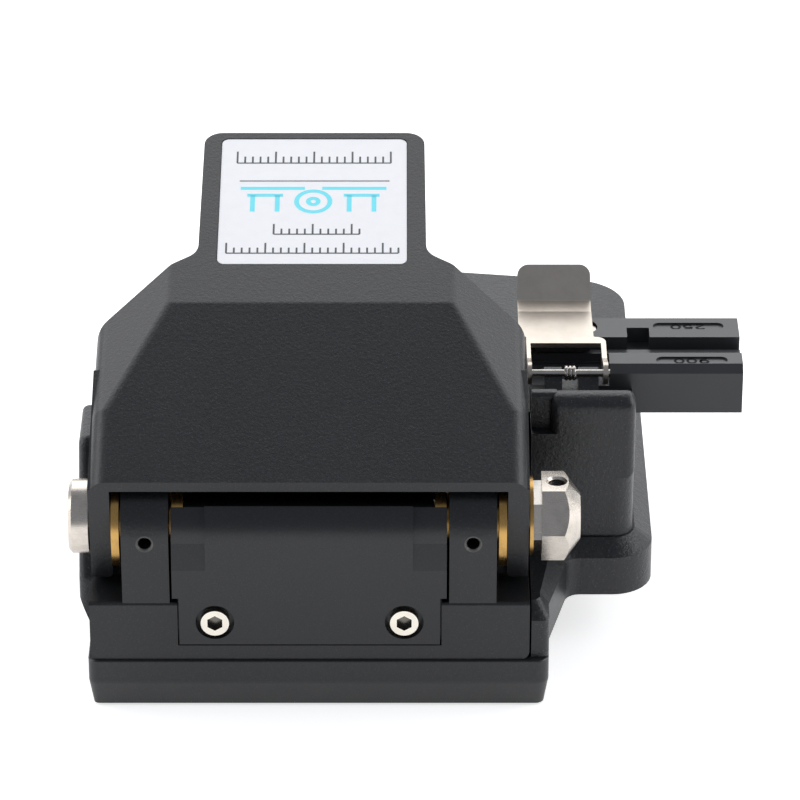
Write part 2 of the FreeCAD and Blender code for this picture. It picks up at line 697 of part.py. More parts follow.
def lever_blank(inset, drop, y_rear, y_front, floor_z):
    """Wedge shaped body of the lever, drawn in by inset and drop for its cavity."""
    ridge_y, top_z, rear_y, rear_z = lever_side(drop)
    fall = math.tan(math.radians(LEVER_RAMP))
    start_z = rear_z + (y_rear - rear_y) * fall
    side = profile([
        (y_rear, floor_z, 0),
        (y_front, floor_z, 0),
        (y_front, top_z, 0),
        (ridge_y, top_z, 0),
        (y_rear, start_z, 0),
    ], -40, 40)
    wall = LEVER_HALF - inset
    upper = LEVER_TOP_HALF - inset
    flat = LEVER_FLAT_HALF - 0.6 * inset
    front_view = section([
        (-wall, floor_z, 0),
        (wall, floor_z, 0),
        (upper, top_z - LEVER_SIDE_DROP, 0),
        (flat, top_z, 0),
        (-flat, top_z, 0),
        (-upper, top_z - LEVER_SIDE_DROP, 0),
    ], y_rear, y_front)
    return side.common(front_view)


def lever_plan(inset, y_rear, y_front, tab):
    """Plan of the lever: straight sides, chamfered shoulders and the tab's width."""
    shoulder = HINGE_Y + LEVER_SHOULDER - 0.4 * inset
    neck = HINGE_Y + LEVER_NECK - 0.5 * inset
    wall = LEVER_HALF - inset
    neck_half = LEVER_FLAT_HALF - inset
    corner = 0.0 if inset else 3.0
    root = 0.0 if inset else 3.5
    right = [
        (wall, y_rear, 0),
        (wall, shoulder, corner),
        (neck_half, neck, 0.5 * corner),
        (tab + 0.2, neck + 3.0, root),
        (tab, y_front, corner),
    ]
    left = [(-x, y, radius) for x, y, radius in reversed(right)]
    return plan(right + left, 0, 60)


def lever_arm():
    """Arm beside the ear, round at the axle and straight at the rear."""
    arm = rod_x(LEVER_ARM_RADIUS, LEVER_INNER_HALF, LEVER_HALF, HINGE_Y, HINGE_Z)
    y8 = HINGE_Y + 8.0
    y19, edge_z = lever_point(19.0, LEVER_EDGE)
    web = profile([
        (HINGE_Y, HINGE_Z, 0),
        (HINGE_Y, HINGE_Z - LEVER_ARM_RADIUS, 0),
        (y8 - 2.0, HINGE_Z - 7.0, 3.0),
        (y19, edge_z, 3.0),
        (y19 + 2.0, edge_z, 0),
        (y19, edge_z + 3.0, 0),
        (HINGE_Y + LEVER_REAR, HINGE_Z + 10.0, 0),
        (HINGE_Y + LEVER_REAR, HINGE_Z, 0),
    ], LEVER_INNER_HALF, LEVER_HALF)
    arm = joined(arm, web)
    behind = box(LEVER_INNER_HALF - 1, LEVER_HALF + 1, HINGE_Y - 20, HINGE_Y + LEVER_REAR,
                 HINGE_Z - 20, HINGE_Z + 20)
    lowest = HINGE_Z - LEVER_ARM_RADIUS
    rear_view = section([
        (LEVER_INNER_HALF, lowest + 1.9, 0),
        (LEVER_INNER_HALF + 2.2, lowest, 0),
        (LEVER_HALF, lowest, ARM_SOFTNESS),
        (LEVER_HALF, HINGE_Z + 20, 0),
        (LEVER_INNER_HALF, HINGE_Z + 20, 0),
    ], HINGE_Y - 20, HINGE_Y + 40)
    return without(arm, behind).common(rear_view)


def lever_shell():
    """Outer body of the lever above its lower edge, with softened ridges."""
    rear = HINGE_Y + LEVER_REAR
    edge_z = HINGE_Z + LEVER_EDGE
    tip = HINGE_Y + LEVER_TIP
    blank = lever_blank(0, 0, rear, tip, edge_z - 9)
    blank = blank.common(lever_plan(0, rear, tip, TAB_HALF))
    z9 = HINGE_Z
    under = profile([
        (rear - 1, z9 - 5, 0),
        (rear - 1, z9, 0),
        (HINGE_Y + 12.0, z9, 0),
        (HINGE_Y + 19.0, edge_z, 0),
        (tip + 1, edge_z, 0),
        (tip + 1, z9 - 5, 0),
    ], -40, 40)
    tab_under = box(-40, 40, HINGE_Y + 46.0, tip + 1, edge_z - 1,
                    HINGE_Z + LEVER_TOP - TAB_THICKNESS)
    blank = without(blank, under, tab_under)
    return softened(blank)


def softened(blank):
    """Round the lever's ridge, bevel edges and tab rim."""
    ridge_y, top_z = lever_point(LEVER_RIDGE, LEVER_TOP)

    def outer(edge):
        bound = edge.BoundBox
        middle = bound.Center
        flat_top = level(edge, top_z) and middle.y < HINGE_Y + LEVER_NECK
        slanted = bound.XLength > 5 and bound.ZLength > 1 and bound.YLength > 15
        rim = abs(middle.x) > LEVER_TOP_HALF - 0.6 and bound.YLength > 8 and bound.XLength < 1
        return (flat_top or slanted or rim) and middle.z > HINGE_Z + LEVER_EDGE + 0.5

    return rounded(blank, LEVER_SOFTNESS, outer)


def lever_cover():
    """Die-cast lever: thin shell with two arms, inner bosses and the recess in the tab."""
    shell = lever_shell()
    rear = HINGE_Y + LEVER_REAR
    front = HINGE_Y + 44.0
    roof_drop = SHELL / math.cos(math.radians(LEVER_RAMP))
    cavity = lever_blank(LEVER_HALF - 31.4, roof_drop, rear - 1, front, HINGE_Z - 20)
    cavity = cavity.common(lever_plan(LEVER_HALF - 31.4, rear - 1, front, TAB_HALF - 2))
    shell = without(shell, cavity)
    shell = joined(shell, lever_arm(), mirrored(lever_arm()))
    roof_z = HINGE_Z + LEVER_TOP - SHELL
    bosses = [box(-4.0, 4.0, ANVIL_PIVOT_Y - 3.0, ANVIL_PIVOT_Y + 3.0, BOSS_BOTTOM, roof_z - 1.6)]
    for side in (-1, 1):
        bosses.append(rod_z(2.2, 38.3, roof_z, side * MAGNET_X, MAGNET_Y))
    shell = joined(shell, *bosses)
    for side in (-1, 1):
        bore = rod_x(BUSH_RADIUS, LEVER_INNER_HALF - 1, LEVER_HALF + 1, HINGE_Y, HINGE_Z)
        if side < 0:
            bore = mirrored(bore)
        screw_hole = rod_z(1.0, 40, roof_z + 1.0, side * GUIDE_X, 0)
        shell = without(shell, bore, screw_hole)
    return lifted(without(shell, label_blank(HINGE_Z + LEVER_TOP - LABEL_DEPTH, 0.0)))


def label_blank(z0, inset):
    """Outline of the plate in the tab, down to z0."""
    half = LABEL_HALF - inset
    y0 = HINGE_Y + LABEL_START + inset
    y1 = HINGE_Y + LABEL_END - inset
    corners = [(-half, y0, 1.2), (half, y0, 1.2), (half, y1, 1.2), (-half, y1, 1.2)]
    return plan(corners, z0, HINGE_Z + LEVER_TOP + 1)


def label_plate():
    """Plain plate in the tab's recess."""
    z1 = HINGE_Z + LEVER_TOP - 0.1
    blank = label_blank(HINGE_Z + LEVER_TOP - LABEL_DEPTH, 0.1)
    return lifted(blank.common(box(-20, 20, 0, 40, 0, z1)))


def arm_bushes():
    """Brass bushes in the lever's arms, which turn on the axle."""
    bush = ring_x(BUSH_RADIUS, AXLE_RADIUS + RUNNING_CLEARANCE, LEVER_INNER_HALF, LEVER_HALF,
                  HINGE_Y, HINGE_Z)
    return both_sides(bush)


def striker_plates():
    """Steel discs on the lever's posts, which meet the magnets."""
    discs = [rod_z(2.6, DECK_Z + 0.6, 38.3, side * MAGNET_X, MAGNET_Y) for side in (-1, 1)]
    return lifted(Part.makeCompound(discs))


def clamp_guide_screws():
    """Shouldered screws that the clamp bar slides on."""
    screws = []
    roof_z = HINGE_Z + LEVER_TOP - SHELL
    for side in (-1, 1):
        x = side * GUIDE_X
        screw = joined(rod_z(1.0, 41.0, roof_z + 1.0, x, 0),
                       rod_z(1.8, 40.1, BAR_BOTTOM - 0.05, x, 0))
        screws.append(screw)
    return lifted(Part.makeCompound(screws))


def anvil_bracket():
    """Fork under the roof that carries the anvil arm."""
    y, z = ANVIL_PIVOT_Y, ANVIL_PIVOT_Z
    fork = box(-4.0, 4.0, y - 2.4, y + 2.4, z - 1.8, BOSS_BOTTOM)
    fork = without(fork, box(-2.2, 2.2, y - 4, y + 4, z - 3, BOSS_BOTTOM - 0.4))
    return lifted(without(fork, rod_x(1.0, -5, 5, y, z)))


def anvil_pin():
    """Pin of the anvil arm."""
    return lifted(rod_x(1.0, -3.9, 3.9, ANVIL_PIVOT_Y, ANVIL_PIVOT_Z))


def upper_clamp_bar():
    """Bar across the lever that carries the two upper pads."""
    bar = box(-BAR_HALF, BAR_HALF, -2.5, 2.5, BAR_BOTTOM, BAR_TOP)
    bar = bevelled(bar, 0.5, lambda edge: level(edge, BAR_TOP))
    holders = [box(5.2, 14.8, -2.9, 2.9, 39.9, BAR_BOTTOM + 0.5)]
    holders.append(mirrored(holders[0]))
    bar = joined(bar, *holders)
    for side in (-1, 1):
        bar = without(bar, rod_z(1.05, 38, 46, side * GUIDE_X, 0),
                      rod_z(2.3, 38, BAR_BOTTOM, side * GUIDE_X, 0))
        ends = sorted((side * 5.8, side * 14.2))
        bar = without(bar, box(ends[0], ends[1], -2.3, 2.3, 39, 40.4))
    return lifted(bar)


def upper_pads():
    """Rubber pads that press the fibre down."""
    pad = box(5.8, 14.2, -2.3, 2.3, FIBRE_Z + 0.3, 40.4)
    return lifted(both_sides(pad))


def anvil_arm():
    """Arm that bends the scored fibre over the blade."""
    y, z = ANVIL_PIVOT_Y, ANVIL_PIVOT_Z
    arm = profile([
        (y - 1.6, z - 1.2, 1.2),
        (y + 2.0, z - 1.2, 0),
        (-6.0, z + 0.1, 2.0),
        (2.2, z + 0.1, 0),
        (2.2, z + 0.9, 0.3),
        (-6.0, z + 1.2, 2.0),
        (y + 1.0, z + 1.3, 0.6),
        (y - 1.6, z + 1.3, 1.2),
    ], -2.0, 2.0)
    return lifted(without(arm, rod_x(1.04, -3, 3, y, z)))


def anvil_tip():
    """Hard tip under the arm's end."""
    return lifted(box(-1.8, 1.8, -1.4, 1.4, 39.3, ANVIL_PIVOT_Z + 0.1))


# ---- fibre clamps and magnets in the base -----------------------------------------------
def lower_clamps():
    """Clamp blocks on both sides of the blade slot."""
    block = box(CLAMP_INNER, CLAMP_OUTER, -CLAMP_DEPTH, CLAMP_DEPTH, DECK_Z, DECK_Z + 2.0)
    block = bevelled(block, 0.4, lambda edge: level(edge, DECK_Z + 2.0))
    recess = box(CLAMP_INNER + 0.8, CLAMP_OUTER - 0.8, -3.2, 3.2, DECK_Z + 1.4, DECK_Z + 3)
    return both_sides(without(block, recess))


def lower_pads():
    """Rubber pads that the fibre lies on."""
    pad = box(CLAMP_INNER + 0.8, CLAMP_OUTER - 0.8, -3.2, 3.2, DECK_Z + 1.4, FIBRE_Z)
    return both_sides(pad)


def base_magnets():
    """Magnets that hold the lever down."""
    magnets = [rod_z(MAGNET_RADIUS, PLATE_SEAT_Z, DECK_Z + 0.3, side * MAGNET_X, MAGNET_Y)
               for side in (-1, 1)]
    return Part.makeCompound(magnets)


def top_plate_screws():
    """Four M2.5 countersunk screws."""
    screws = []
    for x, y in TOP_PLATE_SCREWS:
        head = Part.makeCone(1.3, 2.5, 1.25, V(x, y, DECK_Z - 1.3))
        screw = joined(head, rod_z(1.25, DECK_Z - 7.5, DECK_Z - 1.2, x, y))
        turns = [math.radians(60 * i) for i in range(6)]
        socket = [(x + 0.9 * math.cos(a), y + 0.9 * math.sin(a), 0) for a in turns]
        screws.append(without(screw, plan(socket, DECK_Z - 1.0, DECK_Z + 1)))
    return Part.makeCompound(screws)


# ---- blade carriage ---------------------------------------------------------------------
def guide_rails():
    """Two round rails across the mechanism pocket."""
    rails = [rod_y(RAIL_RADIUS, -21.0, 21.0, x, RAIL_Z) for x in (-RAIL_X, RAIL_X)]
    return Part.makeCompound(rails)


def blade_carriage():
    """Sliding block with the upright that holds the blade shaft."""
    y0, y1 = WHEEL_Y - 9.0, WHEEL_Y + 9.0
    block = box(-11.5, 11.5, y0, y1, 12.0, 22.0)
    upright = profile([
        (WHEEL_Y - 6.5, 21.0, 0),
        (WHEEL_Y + 6.5, 21.0, 0),
        (WHEEL_Y + 3.6, 33.6, 2.6),
        (WHEEL_Y - 3.6, 33.6, 2.6),
    ], 1.0, 3.6)
    carriage = joined(block, upright)
    carriage = without(carriage, rod_x(2.0, 0, 5, WHEEL_Y, WHEEL_Z))
    pit = box(-2.9, 1.0, WHEEL_Y - 8.6, WHEEL_Y + 8.6, 20.0, 23.0)
    carriage = without(carriage, pit)
    for x in (-RAIL_X, RAIL_X):
        carriage = without(carriage, rod_y(RAIL_RADIUS + 0.04, y0 - 1, y1 + 1, x, RAIL_Z))
    return carriage


def blade_shaft():
    """Shouldered shaft that the blade wheel turns on, with its headed end on the left."""
    shaft = joined(rod_x(2.0, -0.8, 3.6, WHEEL_Y, WHEEL_Z),
                   rod_x(3.0, -2.4, -0.7, WHEEL_Y, WHEEL_Z))
    return bevelled(shaft, 0.3, lambda edge: level_at_x(edge, -2.4))


def blade_wheel():
    """Hard steel disc with a double bevelled cutting rim."""
    rim = [
        (0.0, 2.02),
        (0.0, WHEEL_RADIUS),
        (WHEEL_HALF, WHEEL_RADIUS - 1.0),
        (WHEEL_HALF, 3.2),
        (0.9, 3.2),
        (0.9, 2.02),
    ]
    points = [V(x, WHEEL_Y, WHEEL_Z + r) for x, r in rim]
    face = Part.Face(Part.makePolygon(points + points[:1]))
    half = face.revolve(V(0, WHEEL_Y, WHEEL_Z), X_AXIS, 360)
    left = [V(x, WHEEL_Y, WHEEL_Z + r) for x, r in (
        (0.0, 2.02), (0.0, WHEEL_RADIUS), (-WHEEL_HALF, WHEEL_RADIUS - 1.0), (-WHEEL_HALF, 2.02))]
    left_face = Part.Face(Part.makePolygon(left + left[:1]))
    return half.fuse(left_face.revolve(V(0, WHEEL_Y, WHEEL_Z), X_AXIS, 360)).removeSplitter()


# ---- fibre adapter and its clip lid -----------------------------------------------------
def fibre_adapter():
    """Moulded bar with two rails, a fibre shelf between them and a relief under the lid."""
    bar = profile([
        (ADAPTER_REAR, ADAPTER_BOTTOM, 0),
        (ADAPTER_FRONT, ADAPTER_BOTTOM, 0),
        (ADAPTER_FRONT, ADAPTER_TOP, 0),
        (1.9, ADAPTER_TOP, 0),
        (1.9, 37.4, 0),
        (0.6, 37.4, 0),
        (0.6, 38.4, 0),
        (-0.7, 38.4, 0),
        (-0.7, 37.0, 0),
        (-3.4, 37.0, 0),
        (-3.4, ADAPTER_TOP, 0),
        (ADAPTER_REAR + 1.2, ADAPTER_TOP, 0),
        (ADAPTER_REAR, ADAPTER_TOP - 1.2, 0),
    ], ADAPTER_LEFT, ADAPTER_RIGHT)
    relief = box(ADAPTER_LEFT - 1, 47.4, ADAPTER_REAR - 1, -0.9, 36.6, ADAPTER_TOP + 1)
    notch = box(50.6, 54.2, 0.7, 5.1, 37.4, ADAPTER_TOP + 1)
    bar = without(bar, relief, notch)
    for y in (-5.8, 5.7):
        slot = plan([(54.9, y - 1.1, 1.05), (66.3, y - 1.1, 1.05),
                     (66.3, y + 1.1, 1.05), (54.9, y + 1.1, 1.05)], ADAPTER_TOP - 0.3, ADAPTER_TOP + 1)
        bar = without(bar, slot)
    for x in ADAPTER_SCREWS:
        bar = without(bar, rod_z(1.25, ADAPTER_BOTTOM - 1, ADAPTER_TOP + 1, x, ADAPTER_SCREW_Y),
                      rod_z(2.4, ADAPTER_TOP - 2.6, ADAPTER_TOP + 1, x, ADAPTER_SCREW_Y))
    return bar


def adapter_screws():
    """Two socket screws under the lid that hold the adapter to the housing."""
    screws = []
    for x in ADAPTER_SCREWS:
        head_z = ADAPTER_TOP - 2.6
        screw = joined(rod_z(2.2, head_z, ADAPTER_TOP - 0.4, x, ADAPTER_SCREW_Y),
                       rod_z(1.25, 26.0, head_z + 0.1, x, ADAPTER_SCREW_Y))
        turns = [math.radians(60 * i) for i in range(6)]
        socket = [(x + 1.15 * math.cos(a), ADAPTER_SCREW_Y + 1.15 * math.sin(a), 0) for a in turns]
        screws.append(without(screw, plan(socket, ADAPTER_TOP - 1.6, ADAPTER_TOP)))
    return Part.makeCompound(screws)


def lid_pin():
    """Steel pin that the lid turns on."""
    return rod_x(LID_PIN_RADIUS, 34.3, 47.3, LID_PIN_Y, LID_PIN_Z)


def lid_spring():
    """Small torsion spring on the pin."""
    return wound_x(1.2, LID_PIN_RADIUS + 0.1, LID_SPRING_X - 0.9, LID_SPRING_X + 0.9, 3,
                   LID_PIN_Y, LID_PIN_Z)


def lid_strip():
    """Bent strip of the lid: flat, short rise and finger tab."""
    under = LID_UNDER
    rise = 0.35
    foot_y = 12.6
    cos_tab, sin_tab = math.cos(math.radians(60)), math.sin(math.radians(60))
    tip_y, tip_z = foot_y + 6.3 * cos_tab, under + rise + 6.3 * sin_tab
    dy, dz = -LID_SHEET * sin_tab, LID_SHEET * cos_tab
    return profile([
        (-1.9, under, 0),
        (8.9, under, 0),
        (foot_y, under + rise, 1.2),
        (tip_y, tip_z, 0),
        (tip_y + dy, tip_z + dz, 0),
        (foot_y - 0.45, under + rise + LID_SHEET, 0.4),
        (8.9, under + LID_SHEET, 0),
        (-1.9, under + LID_SHEET, 0),
    ], LID_LEFT, LID_RIGHT)


def clip_lid():
    """Sprung sheet lid: flat over the adapter, finger tab and two ears on the pin."""
    outline = [
        (34.25, -3.0, 0),
        (LID_RIGHT, -3.0, 0),
        (LID_RIGHT, 0.2, 1.6),
        (45.1, 0.2, 0.3),
        (44.9, 20.0, 0),
        (LID_LEFT, 20.0, 0),
        (LID_LEFT, 1.4, 0.5),
        (34.25, 0.2, 0.5),
    ]
    lid = lid_strip().common(plan(outline, 30, 60))
    tip = lid.BoundBox.YMax - 1.2

    def tab_corner(edge):
        bound = edge.BoundBox
        return bound.Center.y > tip - 0.5 and 0.3 < edge.Length < 1.2 and bound.XLength < 0.01

    lid = rounded(lid, 1.8, tab_corner)
    for x0, x1 in ((34.25, 34.9), (LID_RIGHT - 0.8, LID_RIGHT)):
        ear = profile([
            (-1.5, LID_UNDER, 0),
            (-1.5, LID_UNDER + LID_SHEET, 0),
            (-7.0, LID_UNDER + LID_SHEET, 1.0),
            (LID_PIN_Y, LID_PIN_Z + 1.8, 0),
            (LID_PIN_Y, LID_PIN_Z - 1.8, 0),
            (-3.0, LID_PIN_Z - 1.8, 1.0),
        ], x0, x1)
        lid = joined(lid, ear, rod_x(1.8, x0, x1, LID_PIN_Y, LID_PIN_Z))
    return without(lid, rod_x(LID_PIN_RADIUS + 0.03, 30, 50, LID_PIN_Y, LID_PIN_Z))


def lid_pad():
    """Rubber bar under the lid that holds the coated fibre on its shelf."""
    return box(35.8, 44.5, -0.6, 0.5, 38.7, LID_UNDER)


# ---- the assembly -----------------------------------------------------------------------
BUILDERS = (
    base_plate, rubber_mat, plate_screws, main_housing, top_plate, top_plate_screws, hinge_block,
    rear_cover, cover_screws, grub_screws, hinge_axle, inner_bushes, side_washers, outer_washer,
    jam_nut, lock_collar, lever_springs, spring_sleeve, guide_rails, lower_clamps, lower_pads,
    base_magnets, fibre_adapter, adapter_screws, lid_pin, lid_spring, lever_cover, label_plate, arm_bushes,
    striker_plates, clamp_guide_screws, anvil_bracket, anvil_pin, upper_clamp_bar, upper_pads,
    anvil_arm, anvil_tip, blade_carriage, blade_shaft, blade_wheel, clip_lid, lid_pad,
)

for builder in BUILDERS:
    shape = builder()
    if shape.isNull() or not shape.isValid():
        raise ValueError(builder.__name__ + " is not a valid solid")
    shape.exportStep("parts/" + builder.__name__ + ".step")
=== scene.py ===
import json
import math

import bmesh
import bpy
from mathutils import Matrix, Vector


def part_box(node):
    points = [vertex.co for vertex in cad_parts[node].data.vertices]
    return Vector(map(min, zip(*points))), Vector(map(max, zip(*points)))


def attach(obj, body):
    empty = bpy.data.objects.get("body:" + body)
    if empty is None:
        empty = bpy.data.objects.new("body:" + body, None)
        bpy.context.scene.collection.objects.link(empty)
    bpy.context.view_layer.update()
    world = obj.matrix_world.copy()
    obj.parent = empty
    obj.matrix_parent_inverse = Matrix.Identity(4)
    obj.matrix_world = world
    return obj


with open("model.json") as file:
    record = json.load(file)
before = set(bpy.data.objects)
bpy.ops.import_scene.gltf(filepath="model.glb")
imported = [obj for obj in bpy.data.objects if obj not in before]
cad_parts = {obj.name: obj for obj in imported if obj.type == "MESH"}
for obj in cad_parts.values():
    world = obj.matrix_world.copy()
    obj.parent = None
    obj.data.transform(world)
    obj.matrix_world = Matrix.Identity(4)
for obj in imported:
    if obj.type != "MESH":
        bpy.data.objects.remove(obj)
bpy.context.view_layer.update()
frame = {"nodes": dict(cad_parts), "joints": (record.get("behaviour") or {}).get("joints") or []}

nodes = frame["nodes"]
MM = 0.001

# The lever rests a few degrees open about its hinge, which lies parallel to X.
lever_hinge = next(joint for joint in frame["joints"] if joint["name"] == "lever_hinge")
HINGE = Vector(lever_hinge["pos_m"])
LEVER_OPEN = -lever_hinge["range_deg"][0]
LEVER_TURN = Matrix.Rotation(math.radians(LEVER_OPEN), 3, "X")


def box_mm(name):
    """Lowest and highest corner of a CAD node, in millimetres."""
    return [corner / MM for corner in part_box(name)]


# ---- materials ---------------------------------------------------------------------------
# A colour Mix node's own sockets share their names with its number sockets, so these go by place.
MIX_BASE, MIX_COLOUR, MIX_RESULT = 6, 7, 2


def add_node(tree, kind, inputs=None, **settings):
    """A shader node with its settings; each input is given a value or another node's output."""
    node = tree.nodes.new("ShaderNode" + kind)
    for name, value in settings.items():
        setattr(node, name, value)
    for socket, value in (inputs or {}).items():
        if isinstance(value, bpy.types.NodeSocket):
            tree.links.new(value, node.inputs[socket])
        else:
            node.inputs[socket].default_value = value
    return node


class Surface:
    """A material on one Principled shader, with short names for the nodes that shape it."""

    def __init__(self, name):
        self.material = bpy.data.materials.new(name)
        self.material.use_nodes = True
        self.tree = self.material.node_tree
        self.tree.nodes.clear()
        self.shader = self.node("BsdfPrincipled")
        self.out = self.node("OutputMaterial", {"Surface": self.shader.outputs[0]})
        self.place = self.node("TexCoord").outputs["Object"]

    def node(self, kind, inputs=None, **settings):
        """A node in this material."""
        return add_node(self.tree, kind, inputs, **settings)

    def stretch(self, scale):
        """Coordinates scaled on each axis."""
        return self.node("Mapping", {"Vector": self.place, "Scale": scale}).outputs[0]

    def noise(self, scale, detail=3.0, roughness=0.55, vector=None):
        """Cloudy values round 0.5."""
        return self.node("TexNoise", {"Vector": vector or self.place, "Scale": scale, "Detail": detail,
                                      "Roughness": roughness}).outputs["Fac"]

    def cells(self, scale):
        """Distance from the nearest of scattered points."""
        return self.node("TexVoronoi", {"Vector": self.place, "Scale": scale}).outputs["Distance"]

    def ramp(self, fac, stops):
        """Colours by fac, given as (place, colour) stops."""
        node = self.node("ValToRGB", {0: fac})
        ends = node.color_ramp.elements
        while len(ends) < len(stops):
            ends.new(0.5)
        for end, (at, colour) in zip(ends, stops):
            end.position = at
            end.color = (*colour, 1.0)
        return node.outputs[0]

    def mix(self, fac, base, colour):
        """A colour over a base, by fac."""
        return self.node("Mix", {0: fac, MIX_BASE: base, MIX_COLOUR: (*colour, 1.0)},
                         data_type="RGBA").outputs[MIX_RESULT]

    def along(self, axis):
        """The coordinate along an axis."""
        return self.node("SeparateXYZ", {0: self.place}).outputs[axis]

    def from_holes(self, x, z):
        """Distance from two axes along Y, at either side of the middle, placed in millimetres."""
        either_x = self.node("Math", {0: self.along("X")}, operation="ABSOLUTE").outputs[0]
        flat = self.node("CombineXYZ", {"X": either_x, "Z": self.along("Z")}).outputs[0]
        return self.node("VectorMath", {0: flat, 1: (x * MM, 0.0, z * MM)},
                         operation="DISTANCE").outputs["Value"]

    def step(self, value, first, last):
        """0 before first and 1 after last, in millimetres."""
        return self.node("MapRange", {"Value": value, "From Min": first * MM,
                                      "From Max": last * MM}).outputs[0]

    def spread(self, fac, low, high):
        """Values from low to high, by fac."""
        return self.node("MapRange", {"Value": fac, "To Min": low, "To Max": high}).outputs[0]

    def both(self, a, b):
        """Product of two masks."""
        return self.node("Math", {0: a, 1: b}, operation="MULTIPLY").outputs[0]

    def add(self, a, b, share):
        """a and a share of b."""
        return self.node("Math", {0: b, 1: share, 2: a}, operation="MULTIPLY_ADD").outputs[0]

    def colour(self, output):
        """Colours the surface from a node."""
        self.tree.links.new(output, self.shader.inputs["Base Color"])

    def rough(self, output):
        """Roughens the surface from a node."""
        self.tree.links.new(output, self.shader.inputs["Roughness"])

    def bump(self, height, depth):
        """Raises the surface by height, up to a depth in millimetres."""
        node = self.node("Bump", {"Height": height, "Distance": depth * MM, "Strength": 1.0})
        self.tree.links.new(node.outputs[0], self.shader.inputs["Normal"])

    def set(self, **values):
        """Sets even values on the shader's own sockets."""
        for name, value in values.items():
            self.shader.inputs[name.replace("_", " ")].default_value = value


def grey(value, tint=(1.0, 1.0, 1.0)):
    """A grey of that value, tinted."""
    return tuple(value * share for share in tint)


COAT_TINT = (0.94, 1.0, 1.12)
MOULDED_TINT = (0.96, 1.0, 1.08)
# Lighter coat colour: the painted reflection on the base plate's lower bevel, and the lighter rims round the
# ear holes.
LIGHTENED_COAT = grey(0.13, (1.0, 0.97, 0.9))


def cast_coat(name, base, grain, depth, rough, glint_grey, lighter_places=None):
    """Black powder coat on a die casting: fine grain with brighter specks that are painted glints; an
    optional mask lightens places (a painted reflection on the base plate's lower bevel, lighter rims round
    the ear holes).
    """
    m = Surface(name)
    fine = m.noise(grain, detail=4.0, roughness=0.65)
    broad = m.noise(70.0, detail=2.0, roughness=0.5)
    coat = m.ramp(m.add(fine, broad, 0.3), [
        (0.35, grey(base * 0.75, COAT_TINT)),
        (0.65, grey(base, COAT_TINT)),
        (0.9, grey(base * 1.5, COAT_TINT)),
    ])
    # Painted glints: small brighter specks put into the base colour.
    painted_glints = m.ramp(m.cells(grain * 0.8), [(0.0, grey(1.0)), (0.12, grey(0.6)), (0.2, grey(0.0))])
    colour = m.mix(painted_glints, coat, grey(glint_grey, COAT_TINT))
    # Lighter places from the optional mask; on the base plate's bevel this is a painted reflection.
    if lighter_places:
        colour = m.mix(lighter_places(m), colour, LIGHTENED_COAT)
    m.colour(colour)
    m.rough(m.spread(fine, rough * 0.82, rough * 1.18))
    pits = m.cells(grain * 0.5)
    m.bump(m.add(fine, pits, 0.45), depth)
    return m.material


EAR_HOLE_X = 25.25       # the grub holes in the hinge block's ears, on the hinge's height
EAR_HOLE_RADIUS = 1.0


def hole_rims(m):
    """Lighter rims round the two grub holes in the hinge block's ears."""
    away = m.from_holes(EAR_HOLE_X, HINGE.z / MM)
    inside_edge = m.step(away, EAR_HOLE_RADIUS, EAR_HOLE_RADIUS + 0.08)
    outside_edge = m.step(away, EAR_HOLE_RADIUS + 0.42, EAR_HOLE_RADIUS + 0.3)
    return m.both(inside_edge, outside_edge)


BEVEL_RISE = 4.1         # height of the base plate's lower bevel
BEVEL_TOP = box_mm("base_plate")[0].z + BEVEL_RISE


def painted_bevel_sheen(m):
    """Painted reflection of the floor: a lighter, patchy band along the base plate's lower bevel."""
    band = m.step(m.along("Z"), BEVEL_TOP + 0.5, BEVEL_TOP - 0.3)
    sheen_patches = m.noise(260.0, detail=4.0, roughness=0.7)
    return m.both(band, m.spread(sheen_patches, 0.12, 0.32))


def moulded(name, base, rough, depth):
    """Black moulded plastic with a satin skin."""
    m = Surface(name)
    fine = m.noise(3800.0, detail=2.0, roughness=0.5)
    flow = m.noise(90.0, detail=2.0, roughness=0.4)
    m.colour(m.ramp(flow, [(0.3, grey(base * 0.9, MOULDED_TINT)), (0.7, grey(base * 1.12, MOULDED_TINT))]))
    m.rough(m.spread(fine, rough - 0.05, rough + 0.06))
    m.bump(fine, depth)
    return m.material


def turned_metal(name, colour, rough, streak=(1.0, 60.0, 60.0), depth=0.004, dirt=0.12, socket_shade=None):
    """Bare metal with fine machining marks across the streak direction; an optional mask darkens sockets
    with painted shade.
    """
    m = Surface(name)
    lines = m.noise(700.0, roughness=0.6, vector=m.stretch(streak))
    stain = m.noise(350.0, roughness=0.6)
    dark = tuple(c * (1.0 - 2.2 * dirt) for c in colour)
    light = tuple(min(1, c * 1.06) for c in colour)
    skin = m.ramp(stain, [(0.28, dark), (0.5, colour), (0.75, light)])
    # Painted shade: the sockets darkened to a fifth of the metal's colour.
    if socket_shade:
        skin = m.mix(socket_shade(m), skin, tuple(0.2 * c for c in colour))
    m.colour(skin)
    m.rough(m.spread(lines, rough * 0.75, rough * 1.3))
    m.bump(lines, depth)
    m.set(Metallic=1.0)
    return m.material


COVER_SCREW_X = 14.65    # the cover's two screws, at either side of the middle
COVER_SCREW_Z = 15.6
SOCKET_HALF = 1.4        # half the width of their hexagon sockets
SCREW_FACE = box_mm("cover_screws")[0].y


def painted_socket_shade(m):
    """Painted shade in the hexagon sockets of the cover's two screws."""
    sunk = m.step(m.along("Y"), SCREW_FACE + 0.03, SCREW_FACE + 0.08)
    return m.both(m.step(m.from_holes(COVER_SCREW_X, COVER_SCREW_Z), SOCKET_HALF + 0.05, SOCKET_HALF), sunk)


